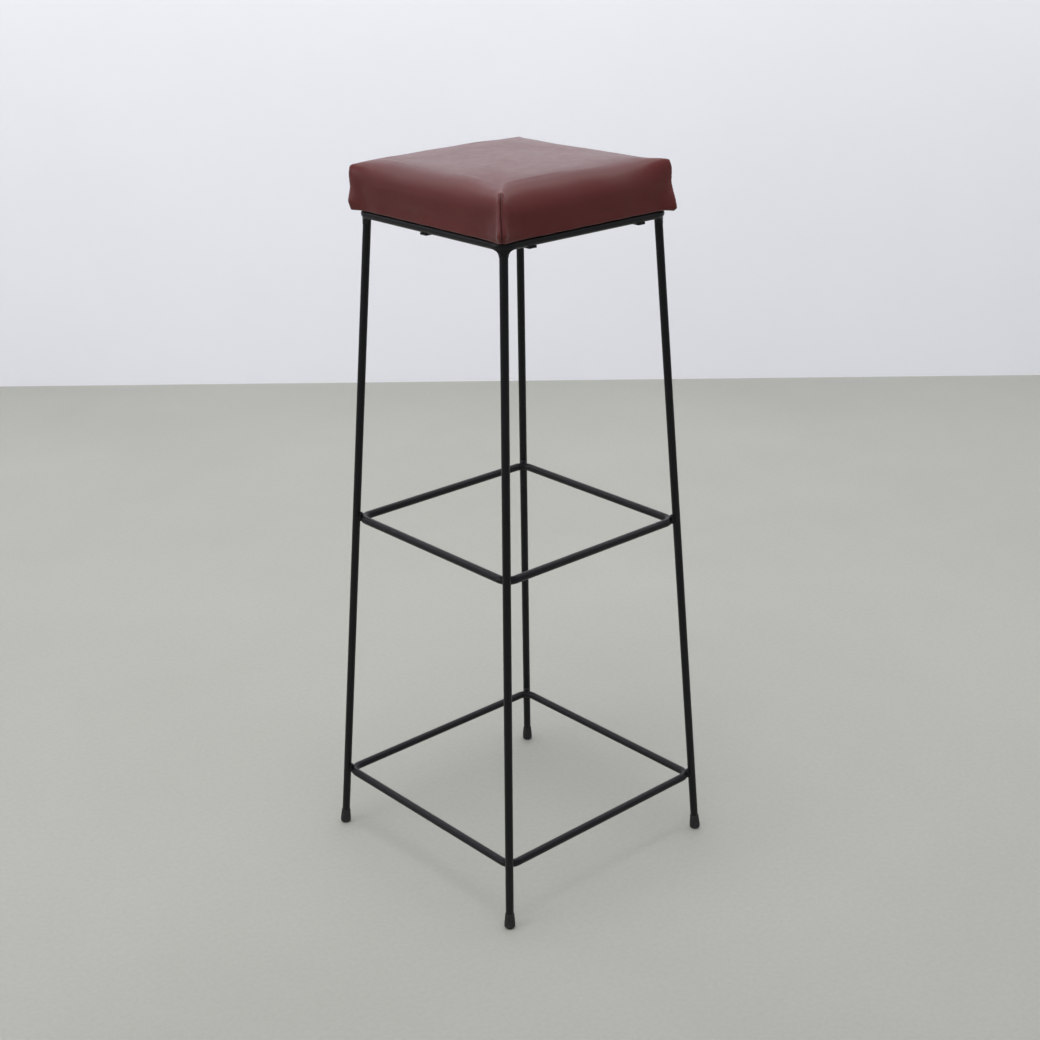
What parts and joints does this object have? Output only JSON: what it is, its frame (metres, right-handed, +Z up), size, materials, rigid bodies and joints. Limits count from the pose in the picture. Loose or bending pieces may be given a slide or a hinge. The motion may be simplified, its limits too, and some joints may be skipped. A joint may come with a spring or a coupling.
{
  "type": "bar stool",
  "caption": "Square padded bar stool on a slim welded round-rod frame, with splayed legs, a footrest ring and a lower bracing ring.",
  "frame": {"origin": "on the floor, at the middle of the square between the four feet", "axes": "+Z up, -Y towards the front of the stool, +X to the stool's right as seen from the front"},
  "size_m": [0.3512, 0.3512, 0.904],
  "materials": {
    "frame_paint": "satin black paint",
    "weld_paint": "satin black paint over weld metal",
    "foot_rubber": "matt black rubber",
    "board_plywood": "raw plywood",
    "pad_foam": "open-cell foam",
    "cover_leatherette": "burgundy leatherette with a soft sheen",
    "zinc_steel": "zinc-plated steel"
  },
  "bodies": {
    "root": {"leg_front_left": "frame_paint", "leg_front_right": "frame_paint", "leg_back_left": "frame_paint", "leg_back_right": "frame_paint", "seat_ring": "frame_paint", "footrest_ring": "frame_paint", "lower_ring": "frame_paint", "lug_front_left": "frame_paint", "lug_front_right": "frame_paint", "lug_back_left": "frame_paint", "lug_back_right": "frame_paint", "lug_left": "frame_paint", "lug_right": "frame_paint", "welds_seat_ring": "weld_paint", "welds_footrest_ring": "weld_paint", "welds_lower_ring": "weld_paint", "welds_lugs": "weld_paint", "foot_cap_front_left": "foot_rubber", "foot_cap_front_right": "foot_rubber", "foot_cap_back_left": "foot_rubber", "foot_cap_back_right": "foot_rubber", "seat_board": "board_plywood", "foam_pad": "pad_foam", "seat_cover": "cover_leatherette", "lug_screws": "zinc_steel", "hem_staples": "zinc_steel"}
  },
  "joints": []
}
